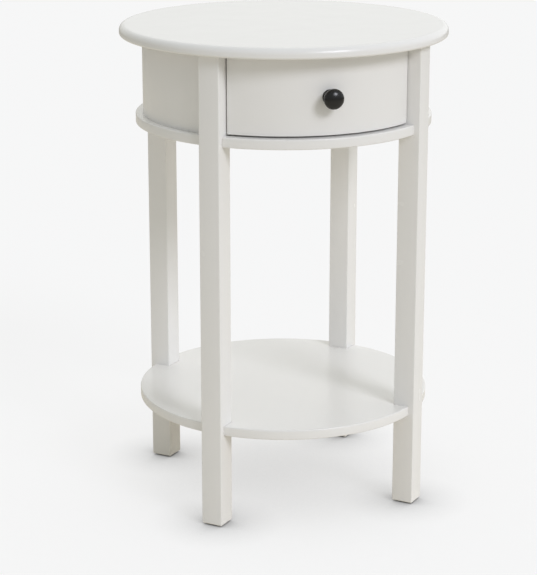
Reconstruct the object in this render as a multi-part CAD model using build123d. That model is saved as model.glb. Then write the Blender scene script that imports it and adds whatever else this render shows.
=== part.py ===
from build123d import *
import os

# Round side table with one drawer. Millimetres, +Z up. The origin is on the floor under the
# table's centre, the drawer opens towards -Y, and +X is to the right of someone facing it.

# ---- driving dimensions ----
overall_height = 590.0
top_radius = 200.0
top_thickness = 13.0
top_upper_round = 7.5
top_lower_round = 3.0

leg_width = 27.0
leg_outer_radius = 188.0        # from the table's axis to the middle of a leg's outer face
leg_arris = 1.0
foot_chamfer = 0.8
glide_thickness = 2.0
glide_radius = 9.0

board_thickness = 12.0          # housing floor and lower shelf
board_radius = 181.5
board_round = 1.2
housing_floor_top = 482.0
shelf_top = 129.0

drum_radius = 172.5             # outside of the aprons and of the drawer front
apron_thickness = 12.0

front_side_gap = 1.5            # drawer front to each leg
front_bottom_gap = 2.0
front_top_gap = 3.0
front_edge_round = 1.0

box_half_width = 98.0           # outside of the drawer sides
box_bottom = 483.5
box_top = 556.0
box_back = 110.0                # y of the drawer back's rear face
side_thickness = 10.0
panel_thickness = 4.0           # drawer bottom
panel_base = 492.0
groove_depth = 5.0
groove_play = 0.1
glue_line = 0.1
block_size = 14.0               # corner blocks behind the drawer front
block_height = 55.0
drawer_travel = 160.0

rail_width = 12.0
rail_half_length = 110.0
guide_rail_play = 0.8
guide_rail_height = 22.0
kicker_play = 1.5               # above the drawer sides
kicker_half_length = 86.0
stop_rail_height = 9.0
stop_play = 0.5                 # between the stop tab and the stop rail at full travel
tab_size = (24.0, 8.0, 43.0)    # x, y, z
tab_top = 573.0
tape_thickness = 1.2
tape_width = 8.0
tape_half_length = 105.0

bracket_width = 16.0
bracket_arm = 20.0
bracket_sheet = 1.5
bracket_bend = 1.0              # inside radius
bracket_corner = 3.0
bracket_screw_offset = 12.0     # from the bend to each screw

screw_shank_radius = 1.75
screw_head_radius = 3.5
screw_tip = 3.0
pilot_play = 0.05               # radial room round a shank, dowel or pin
dowel_radius = 3.0
nail_radius = 0.8
nail_head_radius = 2.0
nail_head_height = 0.8

knob_radius = 12.0
knob_reach = 16.0               # from the drawer front to the knob's widest section
knob_dome = 7.0                 # from that section to the front
knob_back = 10.5                # half depth of the rounded back, were it a whole ellipsoid
knob_neck_radius = 5.5
knob_spigot_radius = 4.0
knob_base_radius = 8.8
knob_base_height = 3.5
knob_screw_radius = 2.0
knob_screw_grip = 10.0          # screw length inside the knob
washer_radius = 6.0
washer_thickness = 1.0
washer_seat_depth = 0.5

# ---- values that follow ----
top_underside = overall_height - top_thickness
floor_base = housing_floor_top - board_thickness
shelf_base = shelf_top - board_thickness
leg_centre_radius = leg_outer_radius - leg_width / 2
leg_inner_radius = leg_outer_radius - leg_width
drum_inner_radius = drum_radius - apron_thickness
drum_mid_radius = drum_radius - apron_thickness / 2
front_base = housing_floor_top + front_bottom_gap
front_top = top_underside - front_top_gap
box_height = box_top - box_bottom
side_centre_x = box_half_width - side_thickness / 2
box_inner_x = box_half_width - side_thickness
guide_rail_x = box_half_width + guide_rail_play + rail_width / 2
kicker_height = top_underside - box_top - kicker_play
stop_rail_y = box_back - drawer_travel - stop_play - rail_width / 2
far = 3 * top_radius
low = (Align.CENTER, Align.CENTER, Align.MIN)
corner = (Align.MIN, Align.MIN, Align.MIN)

# leg and apron directions, in degrees from +X
LEGS = {"front_left": -135, "front_right": -45, "back_left": 135, "back_right": 45}
APRONS = {"left": 180, "right": 0, "back": 90}
SIDES = {"left": -1, "right": 1}

parts = {}


# ---- general shapes ----
def facing(angle):
    """A frame on the table's axis whose +X points outwards at this angle."""
    return Rot(0, 0, angle)


def rod(radius, length):
    """A round rod that stands on its frame's origin along +Z."""
    return Cylinder(radius, length, align=low)


def disc(radius, base, top):
    """A round board on the table's axis."""
    return Pos(0, 0, base) * rod(radius, top - base)


def block(size, centre_x, centre_y, base):
    """An upright block with its base at one height."""
    return Pos(centre_x, centre_y, base) * Box(*size, align=low)


def wood_screw(length, play=0.0):
    """A countersunk screw with its flat face at the origin and its tip along +Z, or its hole."""
    sink = screw_head_radius - screw_shank_radius
    head = Cone(screw_head_radius + play, screw_shank_radius + play, sink, align=low)
    shank = rod(screw_shank_radius + play, length - screw_tip)
    tip = Cone(screw_shank_radius + play, 0.4 + play, screw_tip + play, align=low)
    return head + shank + Pos(0, 0, length - screw_tip) * tip


def nail(length, play=0.0):
    """A flat-headed nail with its head's outer face at the origin and its shank along +Z."""
    return rod(nail_head_radius + play, nail_head_height) + rod(nail_radius + play, length + play)


def dowel(length, play=0.0):
    """A wooden dowel from the origin along +Z."""
    return rod(dowel_radius + play, length + play)


def group(make, length, frames):
    """One node of identical separate fasteners."""
    return Compound(children=[frame * make(length) for frame in frames])


def drilled(solid, make, length, frames):
    """The solid with a hole for each fastener."""
    for frame in frames:
        solid = solid - frame * make(length, pilot_play)
    return solid


def between_legs(angle, offset, base, height):
    """The region between two neighbouring legs, kept offset from both legs' centre planes."""
    return facing(angle - 45) * Pos(offset, offset, base) * Box(far, far, height, align=corner)


def drum_panel(angle, offset, base, top):
    """A curved panel of the drum, with ends parallel to the legs' sides."""
    ring = disc(drum_radius, base, top) - disc(drum_inner_radius, base, top)
    return ring & between_legs(angle, offset, base, top - base)


# ---- where the fasteners go ----
bracket_screw_length = 14.0
apron_dowel_length = 26.0
apron_dowel_in_leg = 11.0
apron_dowel_inset = 22.0        # from the apron's top and bottom edges
floor_dowel_length = 26.0
floor_screw_length = 30.0
floor_screw_angle = 22
guide_screw_length = 28.0
guide_screw_pitch = 80.0
kicker_screw_length = 29.0
kicker_screw_half_pitch = 66.0
stop_screw_length = 18.0
stop_screw_half_pitch = 50.0
front_dowel_length = 20.0
front_dowel_y = -118.5
back_screw_length = 28.0
tab_screw_length = 16.0
pin_length = 20.0
pin_pitch = 60.0
glide_nail_length = 16.0
glide_nail_base = 0.6


def bracket_frames(bend):
    """A frame for each leg: origin on its inner face at the bend's height, +X inwards."""
    return [facing(a) * Pos(leg_inner_radius, 0, bend) * Rot(0, 0, 180) for a in LEGS.values()]


def leg_screw_frames():
    """Bracket screws that run into the legs."""
    into_leg = Pos(bracket_sheet, 0, -bracket_screw_offset) * Rot(0, -90, 0)
    return [f * into_leg for bend in (top_underside, shelf_base) for f in bracket_frames(bend)]


def board_screw_frames(bend):
    """Bracket screws that run up into a board."""
    return [f * Pos(bracket_screw_offset, 0, -bracket_sheet) for f in bracket_frames(bend)]


def apron_dowel_frames():
    """Two dowels from each apron end into the leg beside it."""
    heights = (housing_floor_top + apron_dowel_inset, top_underside - apron_dowel_inset)
    start = leg_width / 2 - apron_dowel_in_leg
    frames = []
    for angle in APRONS.values():
        for side in (-1, 1):
            for z in heights:
                end = facing(angle + 45 * side) * Pos(drum_mid_radius - 0.8, -side * start, z)
                frames.append(end * Rot(90 * side, 0, 0))
    return frames


def floor_dowel_frames():
    """One dowel from each leg's inner face into the edge of the housing floor."""
    start = Pos(leg_inner_radius + floor_dowel_length / 2, 0, floor_base + board_thickness / 2)
    return [facing(angle) * start * Rot(0, -90, 0) for angle in LEGS.values()]


def floor_screw_frames():
    """Two screws up through the housing floor into each apron."""
    turns = (-floor_screw_angle, floor_screw_angle)
    return [facing(a + t) * Pos(drum_mid_radius, 0, floor_base) for a in APRONS.values() for t in turns]


def guide_screw_frames():
    """Three screws down through each guide rail."""
    z = housing_floor_top + guide_rail_height
    pitches = (-guide_screw_pitch, 0, guide_screw_pitch)
    return [Pos(s * guide_rail_x, y, z) * Rot(180, 0, 0) for s in SIDES.values() for y in pitches]


def kicker_screw_frames():
    """Two screws up through each kicker rail."""
    z = top_underside - kicker_height
    pitches = (-kicker_screw_half_pitch, kicker_screw_half_pitch)
    return [Pos(s * side_centre_x, y, z) for s in SIDES.values() for y in pitches]


def stop_screw_frames():
    """Two screws up through the stop rail."""
    z = top_underside - stop_rail_height
    return [Pos(s * stop_screw_half_pitch, stop_rail_y, z) for s in (-1, 1)]


def front_dowel_frames(sign):
    """Two dowels from a drawer side into the drawer front."""
    return [Pos(sign * side_centre_x, front_dowel_y, z) * Rot(90, 0, 0) for z in (508.0, 542.0)]


def back_screw_frames(sign):
    """Two screws through a drawer side into the drawer back."""
    y = box_back - side_thickness / 2
    return [Pos(sign * box_half_width, y, z) * Rot(0, -90 * sign, 0) for z in (510.0, 542.0)]


def tab_screw_frames():
    """Two screws through the stop tab into the drawer back."""
    y = box_back + tab_size[1]
    return [Pos(0, y, z) * Rot(90, 0, 0) for z in (536.0, 549.0)]


def pin_frames():
    """Three pins up through the drawer bottom into the drawer back."""
    y = box_back - side_thickness / 2
    return [Pos(x, y, panel_base - nail_head_height) for x in (-pin_pitch, 0, pin_pitch)]


def glide_nail_frame(angle):
    """The nail up through a glide into its leg."""
    return facing(angle) * Pos(leg_centre_radius, 0, glide_nail_base)


# ---- table frame ----
def table_top():
    """Round top with a large round on its upper edge and a small one below."""
    board = disc(top_radius, top_underside, overall_height)
    board = fillet(board.edges().group_by(Axis.Z)[-1], top_upper_round)
    board = fillet(board.edges().group_by(Axis.Z)[0], top_lower_round)
    board = drilled(board, wood_screw, bracket_screw_length, board_screw_frames(top_underside))
    board = drilled(board, wood_screw, kicker_screw_length, kicker_screw_frames())
    return drilled(board, wood_screw, stop_screw_length, stop_screw_frames())


def leg(angle):
    """Square post whose faces look along and across its own radius."""
    height = top_underside - glide_thickness
    post = Box(leg_width, leg_width, height, align=low)
    post = fillet(post.edges().filter_by(Axis.Z), leg_arris)
    post = chamfer(post.faces().sort_by(Axis.Z)[0].edges(), foot_chamfer)
    post = facing(angle) * Pos(leg_centre_radius, 0, glide_thickness) * post
    post = drilled(post, wood_screw, bracket_screw_length, leg_screw_frames())
    post = drilled(post, dowel, apron_dowel_length, apron_dowel_frames())
    post = drilled(post, dowel, floor_dowel_length, floor_dowel_frames())
    return drilled(post, nail, glide_nail_length, [glide_nail_frame(angle)])


def notched_board(top):
    """Round board cut out round the four legs."""
    board = disc(board_radius, top - board_thickness, top)
    board = fillet(board.edges().filter_by(GeomType.CIRCLE), board_round)
    for angle in LEGS.values():
        notch = Box(far, leg_width, far, align=(Align.MIN, Align.CENTER, Align.CENTER))
        board = board - facing(angle) * Pos(leg_inner_radius, 0, top) * notch
    return board


def housing_floor():
    """Round board under the drum."""
    board = notched_board(housing_floor_top)
    board = drilled(board, dowel, floor_dowel_length, floor_dowel_frames())
    board = drilled(board, wood_screw, floor_screw_length, floor_screw_frames())
    return drilled(board, wood_screw, guide_screw_length, guide_screw_frames())


def lower_shelf():
    """Round shelf held by a bracket at each leg."""
    board = notched_board(shelf_top)
    return drilled(board, wood_screw, bracket_screw_length, board_screw_frames(shelf_base))


def apron(angle):
    """Curved panel between two legs, from the housing floor to the top."""
    panel = drum_panel(angle, leg_width / 2, housing_floor_top, top_underside)
    panel = drilled(panel, dowel, apron_dowel_length, apron_dowel_frames())
    return drilled(panel, wood_screw, floor_screw_length, floor_screw_frames())


def bracket(frame, bend):
    """Bent steel angle: one arm down the leg's inner face, one arm inwards under the board."""
    align = (Align.MIN, Align.CENTER, Align.MAX)
    down = Box(bracket_sheet, bracket_width, bracket_arm, align=align)
    inwards = Box(bracket_arm, bracket_width, bracket_sheet, align=align)
    sheet = down + inwards
    outer_bend, inner_bend = sheet.edges().filter_by(Axis.Y).sort_by_distance((0, 0, 0))[:2]
    sheet = fillet(outer_bend, bracket_bend + bracket_sheet)
    inner_bend = sheet.edges().filter_by(Axis.Y).sort_by_distance(inner_bend.center())[0]
    sheet = fillet(inner_bend, bracket_bend)
    sheet = fillet(sheet.edges().filter_by(Axis.X).group_by(Axis.Z)[0], bracket_corner)
    sheet = fillet(sheet.edges().filter_by(Axis.Z).group_by(Axis.X)[-1], bracket_corner)
    sheet = drilled(frame * sheet, wood_screw, bracket_screw_length, leg_screw_frames())
    return drilled(sheet, wood_screw, bracket_screw_length, board_screw_frames(bend))


def guide_rail(sign):
    """Strip on the housing floor beside the drawer."""
    size = (rail_width, 2 * rail_half_length, guide_rail_height)
    rail = block(size, sign * guide_rail_x, 0, housing_floor_top)
    return drilled(rail, wood_screw, guide_screw_length, guide_screw_frames())


def kicker_rail(sign):
    """Strip under the top that keeps the open drawer from tipping."""
    size = (rail_width, 2 * kicker_half_length, kicker_height)
    rail = block(size, sign * side_centre_x, 0, top_underside - kicker_height)
    return drilled(rail, wood_screw, kicker_screw_length, kicker_screw_frames())


def stop_rail():
    """Cross strip between the kicker rails that the drawer's stop tab meets."""
    size = (2 * side_centre_x - rail_width, rail_width, stop_rail_height)
    rail = block(size, 0, stop_rail_y, top_underside - stop_rail_height)
    return drilled(rail, wood_screw, stop_screw_length, stop_screw_frames())


def glide_tape(sign):
    """Low-friction strip that a drawer side slides on."""
    size = (tape_width, 2 * tape_half_length, tape_thickness)
    return block(size, sign * side_centre_x, 0, housing_floor_top)


def foot_glide(angle):
    """Round pad under a leg, recessed for its nail's head."""
    pad = facing(angle) * Pos(leg_centre_radius, 0, 0) * rod(glide_radius, glide_thickness)
    recess = facing(angle) * Pos(leg_centre_radius, 0, 0) * rod(nail_head_radius + 0.4, glide_nail_base)
    return drilled(pad - recess, nail, glide_nail_length, [glide_nail_frame(angle)])


# ---- drawer ----
knob_frame = Pos(0, -drum_radius, (front_base + front_top) / 2) * Rot(90, 0, 0)


def drawer_front():
    """Curved front, grooved for the bottom panel, drilled for the dowels and the knob's screw."""
    offset = leg_width / 2 + front_side_gap
    panel = fillet(drum_panel(-90, offset, front_base, front_top).edges(), front_edge_round)
    low_z = panel_base - groove_play
    high_z = panel_base + panel_thickness + groove_play
    groove = disc(drum_inner_radius + groove_depth, low_z, high_z)
    groove = groove & block((2 * (box_inner_x + groove_depth), far, far), 0, 0, 0)
    panel = panel - groove
    for sign in SIDES.values():
        panel = drilled(panel, dowel, front_dowel_length, front_dowel_frames(sign))
    screw_hole = Cylinder(knob_screw_radius + 0.2, 3 * apron_thickness)
    seat = Pos(0, 0, -apron_thickness - 5) * rod(washer_radius + 0.5, washer_seat_depth + 5)
    return panel - knob_frame * screw_hole - knob_frame * seat


def inside_front(shape):
    """The shape cut to the curve of the drawer front's inner face, less a line of glue."""
    return shape & disc(drum_inner_radius - glue_line, box_bottom, box_top)


def drawer_side(sign):
    """Side with a groove for the bottom panel, its front end cut to the curve of the front."""
    size = (side_thickness, far, box_height)
    side = block(size, sign * side_centre_x, box_back - far / 2, box_bottom)
    side = inside_front(side)
    groove = (2 * groove_depth, far, panel_thickness + 2 * groove_play)
    side = side - block(groove, sign * box_inner_x, 0, panel_base - groove_play)
    side = drilled(side, dowel, front_dowel_length, front_dowel_frames(sign))
    return drilled(side, wood_screw, back_screw_length, back_screw_frames(sign))


def drawer_back():
    """Back that stands on the bottom panel between the sides."""
    base = panel_base + panel_thickness
    size = (2 * box_inner_x, side_thickness, box_top - base)
    back = block(size, 0, box_back - side_thickness / 2, base)
    for sign in SIDES.values():
        back = drilled(back, wood_screw, back_screw_length, back_screw_frames(sign))
    back = drilled(back, wood_screw, tab_screw_length, tab_screw_frames())
    return drilled(back, nail, pin_length, pin_frames())


def drawer_bottom():
    """Thin panel held in the grooves of the sides and the front."""
    reach = groove_depth - 2 * groove_play
    size = (2 * (box_inner_x + reach), far, panel_thickness)
    panel = block(size, 0, box_back - far / 2, panel_base)
    panel = panel & disc(drum_inner_radius + reach, panel_base, panel_base + panel_thickness)
    return drilled(panel, nail, pin_length, pin_frames())


def front_block(sign):
    """Glued block in the corner between a side and the front."""
    base = panel_base + panel_thickness
    size = (block_size, far, block_height)
    centre_x = sign * (box_inner_x - block_size / 2)
    return inside_front(block(size, centre_x, front_dowel_y - far / 2, base))


def stop_tab():
    """Block on the drawer back that stands higher than the drawer sides."""
    tab = block(tab_size, 0, box_back + tab_size[1] / 2, tab_top - tab_size[2])
    return drilled(tab, wood_screw, tab_screw_length, tab_screw_frames())


def half_ellipsoid(radius, depth):
    """Half of a round ellipsoid, standing on its widest section."""
    quarter = Ellipse(radius, depth) & Pos(radius / 2, depth / 2) * Rectangle(radius, depth)
    return revolve(Plane.XZ * quarter, Axis.Z)


def knob():
    """Flattened ball on a round neck, with a spigot through its base and a blind hole for the screw."""
    ball = half_ellipsoid(knob_radius, knob_dome) + Rot(180, 0, 0) * half_ellipsoid(knob_radius, knob_back)
    neck = Pos(0, 0, knob_base_height) * rod(knob_neck_radius, knob_reach - knob_base_height)
    spigot = rod(knob_spigot_radius, knob_base_height)
    hole = rod(knob_screw_radius + pilot_play, knob_screw_grip + 1)
    return knob_frame * (Pos(0, 0, knob_reach) * ball + neck + spigot - hole)


def knob_base():
    """Round flared base under the knob."""
    base = rod(knob_base_radius, knob_base_height)
    base = fillet(base.edges().group_by(Axis.Z)[-1], knob_base_height - 1)
    return knob_frame * (base - rod(knob_spigot_radius + pilot_play, knob_base_height))


def knob_washer():
    """Washer in its flat seat behind the drawer front."""
    ring = rod(washer_radius, washer_thickness) - rod(knob_screw_radius + 0.2, washer_thickness)
    inside = washer_seat_depth - apron_thickness - washer_thickness
    return knob_frame * Pos(0, 0, inside) * ring


def knob_screw():
    """Pan-headed machine screw from inside the drawer into the knob."""
    head_height = 2.6
    inside = washer_seat_depth - apron_thickness - washer_thickness
    head = Pos(0, 0, inside - head_height) * rod(2 * knob_screw_radius, head_height)
    head = fillet(head.edges().group_by(Axis.Y)[-1], 1.0)
    shank = Pos(0, 0, inside) * rod(knob_screw_radius, knob_screw_grip - inside)
    return knob_frame * (head + shank)


# ---- all nodes ----
parts["table_top"] = table_top()
parts["housing_floor"] = housing_floor()
parts["lower_shelf"] = lower_shelf()
for name, angle in APRONS.items():
    parts["apron_" + name] = apron(angle)

top_places = dict(zip(LEGS, bracket_frames(top_underside)))
shelf_places = dict(zip(LEGS, bracket_frames(shelf_base)))
for name, angle in LEGS.items():
    parts["leg_" + name] = leg(angle)
    parts["foot_glide_" + name] = foot_glide(angle)
    parts["top_bracket_" + name] = bracket(top_places[name], top_underside)
    parts["shelf_bracket_" + name] = bracket(shelf_places[name], shelf_base)

for name, sign in SIDES.items():
    parts["guide_rail_" + name] = guide_rail(sign)
    parts["kicker_rail_" + name] = kicker_rail(sign)
    parts["glide_tape_" + name] = glide_tape(sign)
    parts["drawer_side_" + name] = drawer_side(sign)
    parts["front_block_" + name] = front_block(sign)

parts["stop_rail"] = stop_rail()
parts["drawer_front"] = drawer_front()
parts["drawer_back"] = drawer_back()
parts["drawer_bottom"] = drawer_bottom()
parts["stop_tab"] = stop_tab()
parts["knob"] = knob()
parts["knob_base"] = knob_base()
parts["knob_washer"] = knob_washer()
parts["knob_screw"] = knob_screw()

bracket_screws = leg_screw_frames() + board_screw_frames(top_underside) + board_screw_frames(shelf_base)
glide_nails = [glide_nail_frame(angle) for angle in LEGS.values()]
front_dowels = front_dowel_frames(-1) + front_dowel_frames(1)
back_screws = back_screw_frames(-1) + back_screw_frames(1)
parts["bracket_screws"] = group(wood_screw, bracket_screw_length, bracket_screws)
parts["apron_dowels"] = group(dowel, apron_dowel_length, apron_dowel_frames())
parts["housing_floor_dowels"] = group(dowel, floor_dowel_length, floor_dowel_frames())
parts["housing_floor_screws"] = group(wood_screw, floor_screw_length, floor_screw_frames())
parts["guide_rail_screws"] = group(wood_screw, guide_screw_length, guide_screw_frames())
parts["kicker_rail_screws"] = group(wood_screw, kicker_screw_length, kicker_screw_frames())
parts["stop_rail_screws"] = group(wood_screw, stop_screw_length, stop_screw_frames())
parts["foot_glide_nails"] = group(nail, glide_nail_length, glide_nails)
parts["drawer_front_dowels"] = group(dowel, front_dowel_length, front_dowels)
parts["drawer_back_screws"] = group(wood_screw, back_screw_length, back_screws)
parts["drawer_bottom_pins"] = group(nail, pin_length, pin_frames())
parts["stop_tab_screws"] = group(wood_screw, tab_screw_length, tab_screw_frames())

os.makedirs("parts", exist_ok=True)
for name, shape in parts.items():
    export_step(shape, "parts/" + name + ".step")
print(len(parts), "nodes written")
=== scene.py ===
# %% [markdown]
# # A small round side table with one drawer
#
# On the bench this table is a dozen lacquered pieces of fibreboard and wood, a plain drawer box, and a
# handful of screws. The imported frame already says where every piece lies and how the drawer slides, so
# nothing here is placed by eye. This notebook gives each piece the surface that it has when it leaves
# the workshop: its eased edges, its film of lacquer, its grain, its screws and its black knob.

# %% Load the frame
import math
import bpy
import numpy as np
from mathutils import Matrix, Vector


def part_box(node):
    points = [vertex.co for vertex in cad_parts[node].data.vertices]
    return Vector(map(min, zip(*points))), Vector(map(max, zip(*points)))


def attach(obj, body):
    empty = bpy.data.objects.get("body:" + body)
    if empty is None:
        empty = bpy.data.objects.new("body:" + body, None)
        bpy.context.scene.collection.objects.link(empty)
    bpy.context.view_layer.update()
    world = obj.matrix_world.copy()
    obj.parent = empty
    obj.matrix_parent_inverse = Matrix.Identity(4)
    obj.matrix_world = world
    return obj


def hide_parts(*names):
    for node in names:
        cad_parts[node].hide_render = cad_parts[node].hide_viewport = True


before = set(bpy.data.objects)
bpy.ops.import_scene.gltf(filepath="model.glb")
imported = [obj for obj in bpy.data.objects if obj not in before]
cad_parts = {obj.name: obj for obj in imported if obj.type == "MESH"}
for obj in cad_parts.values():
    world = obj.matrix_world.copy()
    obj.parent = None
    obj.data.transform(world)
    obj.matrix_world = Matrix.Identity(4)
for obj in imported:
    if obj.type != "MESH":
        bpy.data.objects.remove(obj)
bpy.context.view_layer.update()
mm = 0.001

# %% [markdown]
# ## Where we stand
# A product is usually shown a little from one side and a little from above, with a long lens so that
# upright posts stay nearly parallel. The camera stands on the drawer's left. It could be turned by
# hand, but aiming it at a named point on the table's axis keeps every number readable.

# %% Camera
camera_distance = 2.387                    # on the floor, from the table's axis
camera_height = 0.949
camera_azimuth = math.radians(-17.74)      # 0 faces the drawer, negative is to its left
aim_height = 0.254
aim_left = 0.0185
lens_mm = 123.3
sensor_mm = 36.0                           # along the picture's long side

away = Vector((math.sin(camera_azimuth), -math.cos(camera_azimuth), 0))
leftward = Vector((-math.cos(camera_azimuth), -math.sin(camera_azimuth), 0))
camera_data = bpy.data.cameras.new("camera")
camera_data.lens = lens_mm
camera_data.sensor_width = sensor_mm
camera = bpy.data.objects.new("camera", camera_data)
bpy.context.scene.collection.objects.link(camera)
camera.location = away * camera_distance + Vector((0, 0, camera_height))
aim = leftward * aim_left + Vector((0, 0, aim_height))
camera.rotation_euler = (aim - camera.location).to_track_quat("-Z", "Y").to_euler()
bpy.context.scene.camera = camera
bpy.context.scene.view_settings.view_transform = "Standard"
print("camera at", [round(v, 3) for v in camera.location])

# %% [markdown]
# ## Small tools for shader nodes
# A material is a small machine of nodes. Three helpers keep the wiring short: one adds a node and sets
# its sockets, one joins two sockets, and one makes a group with named sockets. A group is built once
# and placed in every material that needs it, with that material's own values.

# %% Node helpers
def add(tree, kind, values=None, **settings):
    """Adds a node, sets its own settings, and then the start values of its inputs."""
    made = tree.nodes.new(kind)
    for name, value in settings.items():
        setattr(made, name, value)
    for name, value in (values or {}).items():
        made.inputs[name].default_value = value
    return made


def join(tree, source, target):
    """Links an output socket to an input socket."""
    tree.links.new(source, target)


def maths(tree, operation, first, second=0.0, third=0.0):
    """One Math node. Each operand is a number or a socket."""
    made = add(tree, "ShaderNodeMath", operation=operation)
    for socket, operand in zip(made.inputs, (first, second, third)):
        if isinstance(operand, (int, float)):
            socket.default_value = operand
        else:
            join(tree, operand, socket)
    return made.outputs[0]


def blended(tree, factor, first, second, mode="MIX"):
    """One Mix node for colours. Each colour is an RGBA value or a socket."""
    made = add(tree, "ShaderNodeMix", data_type="RGBA", blend_type=mode)
    for socket, operand in ((made.inputs[0], factor), (made.inputs[6], first), (made.inputs[7], second)):
        if isinstance(operand, (int, float, tuple)):
            socket.default_value = operand
        else:
            join(tree, operand, socket)
    return made.outputs[2]


def added(tree, first, second):
    """One Mix node that adds a colour to another."""
    return blended(tree, 1.0, first, second, "ADD")


def group(name, inputs, outputs):
    """A shader node group. inputs and outputs map each socket's name to its type or start value."""
    tree = bpy.data.node_groups.new(name, "ShaderNodeTree")
    kinds = {"colour": "NodeSocketColor", "vector": "NodeSocketVector", "value": "NodeSocketFloat"}
    for socket, start in inputs.items():
        kind = "vector" if start is None else "colour" if isinstance(start, tuple) else "value"
        made = tree.interface.new_socket(socket, in_out="INPUT", socket_type=kinds[kind])
        if start is not None:
            made.default_value = start
    for socket, kind in outputs.items():
        tree.interface.new_socket(socket, in_out="OUTPUT", socket_type=kinds[kind])
    return tree, add(tree, "NodeGroupInput").outputs, add(tree, "NodeGroupOutput").inputs


def place_group(tree, name, **values):
    """One use of a group in a material, with its own values. Underscores stand for spaces."""
    made = add(tree, "ShaderNodeGroup", node_tree=bpy.data.node_groups[name])
    for socket, value in values.items():
        target = made.inputs[socket.replace("_", " ")]
        if isinstance(value, bpy.types.NodeSocket):
            join(tree, value, target)
        else:
            target.default_value = value
    return made.outputs


def noise(tree, coordinates, scale, detail=2.0):
    """A Noise Texture's value, from 0 to 1, read at these coordinates. The scale may be a socket."""
    made = add(tree, "ShaderNodeTexNoise", {"Detail": detail})
    join(tree, coordinates, made.inputs["Vector"])
    if isinstance(scale, bpy.types.NodeSocket):
        join(tree, scale, made.inputs["Scale"])
    else:
        made.inputs["Scale"].default_value = scale
    return made.outputs["Fac"]


def scaled(tree, coordinates, scale, turn=(0, 0, 0)):
    """A Mapping node: coordinates turned and stretched."""
    made = add(tree, "ShaderNodeMapping", {"Rotation": turn, "Scale": scale})
    join(tree, coordinates, made.inputs["Vector"])
    return made.outputs[0]


def object_coordinates(tree):
    """The piece's own coordinates, in metres."""
    return add(tree, "ShaderNodeTexCoord").outputs["Object"]


print("helpers ready")

# %% [markdown]
# ## Sprayed lacquer
# White lacquer is never one flat colour. The spray leaves faint clouds, the film dries with a fine
# orange peel about a millimetre wide and a few thousandths high, and its gloss drifts a little from
# place to place. It pulls thin over every edge, which leaves the arrises a touch warmer and duller.
# All of that is one group, because every white piece has it. Heights are in metres, so the Bump node
# can use a distance of one and stay true to scale.

# %% Group: lacquer film
tree, given, result = group(
    "lacquer film",
    {"Colour": (0.8, 0.8, 0.8, 1), "Cloud": 0.03, "Roughness": 0.3, "Drift": 0.05, "Peel": 4e-6,
     "Wave": 1.2e-5},
    {"Colour": "colour", "Roughness": "value", "Height": "value"},
)
here = object_coordinates(tree)
clouds = noise(tree, here, 9.0, 3.0)
shade = maths(tree, "MULTIPLY_ADD", clouds, maths(tree, "MULTIPLY", given["Cloud"], -1.0), 1.0)
tinted = blended(tree, 1.0, given["Colour"], shade, "MULTIPLY")
warm_white = (0.985, 0.968, 0.935, 1)
warmed = blended(tree, 1.0, tinted, warm_white, "MULTIPLY")
bevel = add(tree, "ShaderNodeBevel", {"Radius": 0.0012}, samples=4)
plain = add(tree, "ShaderNodeNewGeometry").outputs["Normal"]
agreement = add(tree, "ShaderNodeVectorMath", operation="DOT_PRODUCT")
join(tree, bevel.outputs[0], agreement.inputs[0])
join(tree, plain, agreement.inputs[1])
arris = maths(tree, "MULTIPLY", maths(tree, "SUBTRACT", 1.0, agreement.outputs["Value"]), 4.0)
arris = maths(tree, "MINIMUM", arris, 1.0)
join(tree, blended(tree, arris, tinted, warmed), result["Colour"])
gloss = maths(tree, "SUBTRACT", noise(tree, here, 28.0, 2.0), 0.5)
drift = maths(tree, "MULTIPLY_ADD", gloss, given["Drift"], given["Roughness"])
join(tree, maths(tree, "MULTIPLY_ADD", arris, 0.08, drift), result["Roughness"])
peel = maths(tree, "MULTIPLY", noise(tree, here, 720.0, 1.5), given["Peel"])
wave = maths(tree, "MULTIPLY", noise(tree, here, 48.0, 1.0), given["Wave"])
join(tree, maths(tree, "ADD", peel, wave), result["Height"])
print("lacquer film:", len(tree.nodes), "nodes")

# %% [markdown]
# ## Bare wood
# Inside, the wood is bare. One group makes grain that always runs along its own X axis: long soft
# bands, finer streaks, and the short dark flecks that beech shows. A Mapping node turns it to lie
# along each piece, as a maker would turn the board before cutting.

# %% Group: wood grain
tree, given, result = group(
    "wood grain",
    {"Vector": None, "Pale": (0.7, 0.5, 0.3, 1), "Dark": (0.5, 0.3, 0.2, 1), "Bands": 90.0, "Fleck": 0.3},
    {"Colour": "colour", "Roughness": "value", "Height": "value"},
)
bands = noise(tree, scaled(tree, given["Vector"], (0.05, 1.0, 1.0)), given["Bands"], 3.0)
streaks = noise(tree, scaled(tree, given["Vector"], (14.0, 900.0, 900.0)), 1.0, 2.0)
flecks = noise(tree, scaled(tree, given["Vector"], (160.0, 1500.0, 1500.0)), 1.0, 0.0)
fleck = maths(tree, "GREATER_THAN", flecks, 0.68)
mix = maths(tree, "MULTIPLY_ADD", streaks, 0.45, maths(tree, "MULTIPLY", bands, 0.6))
grain = blended(tree, mix, given["Pale"], given["Dark"])
marked = maths(tree, "MULTIPLY", fleck, given["Fleck"])
join(tree, blended(tree, marked, grain, given["Dark"]), result["Colour"])
join(tree, maths(tree, "MULTIPLY_ADD", streaks, 0.15, 0.5), result["Roughness"])
join(tree, maths(tree, "MULTIPLY", streaks, 3e-5), result["Height"])
print("wood grain:", len(tree.nodes), "nodes")

# %% [markdown]
# ## Zinc, enamel and nylon
# Zinc-plated steel has small crystal patches that catch the light differently, and fine rolling lines.
# Black enamel and moulded nylon share a simpler skin: a fine stipple and a slow drift of gloss. The two
# groups differ because crystals need Voronoi cells, whose hard borders a noise can't give.

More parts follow.
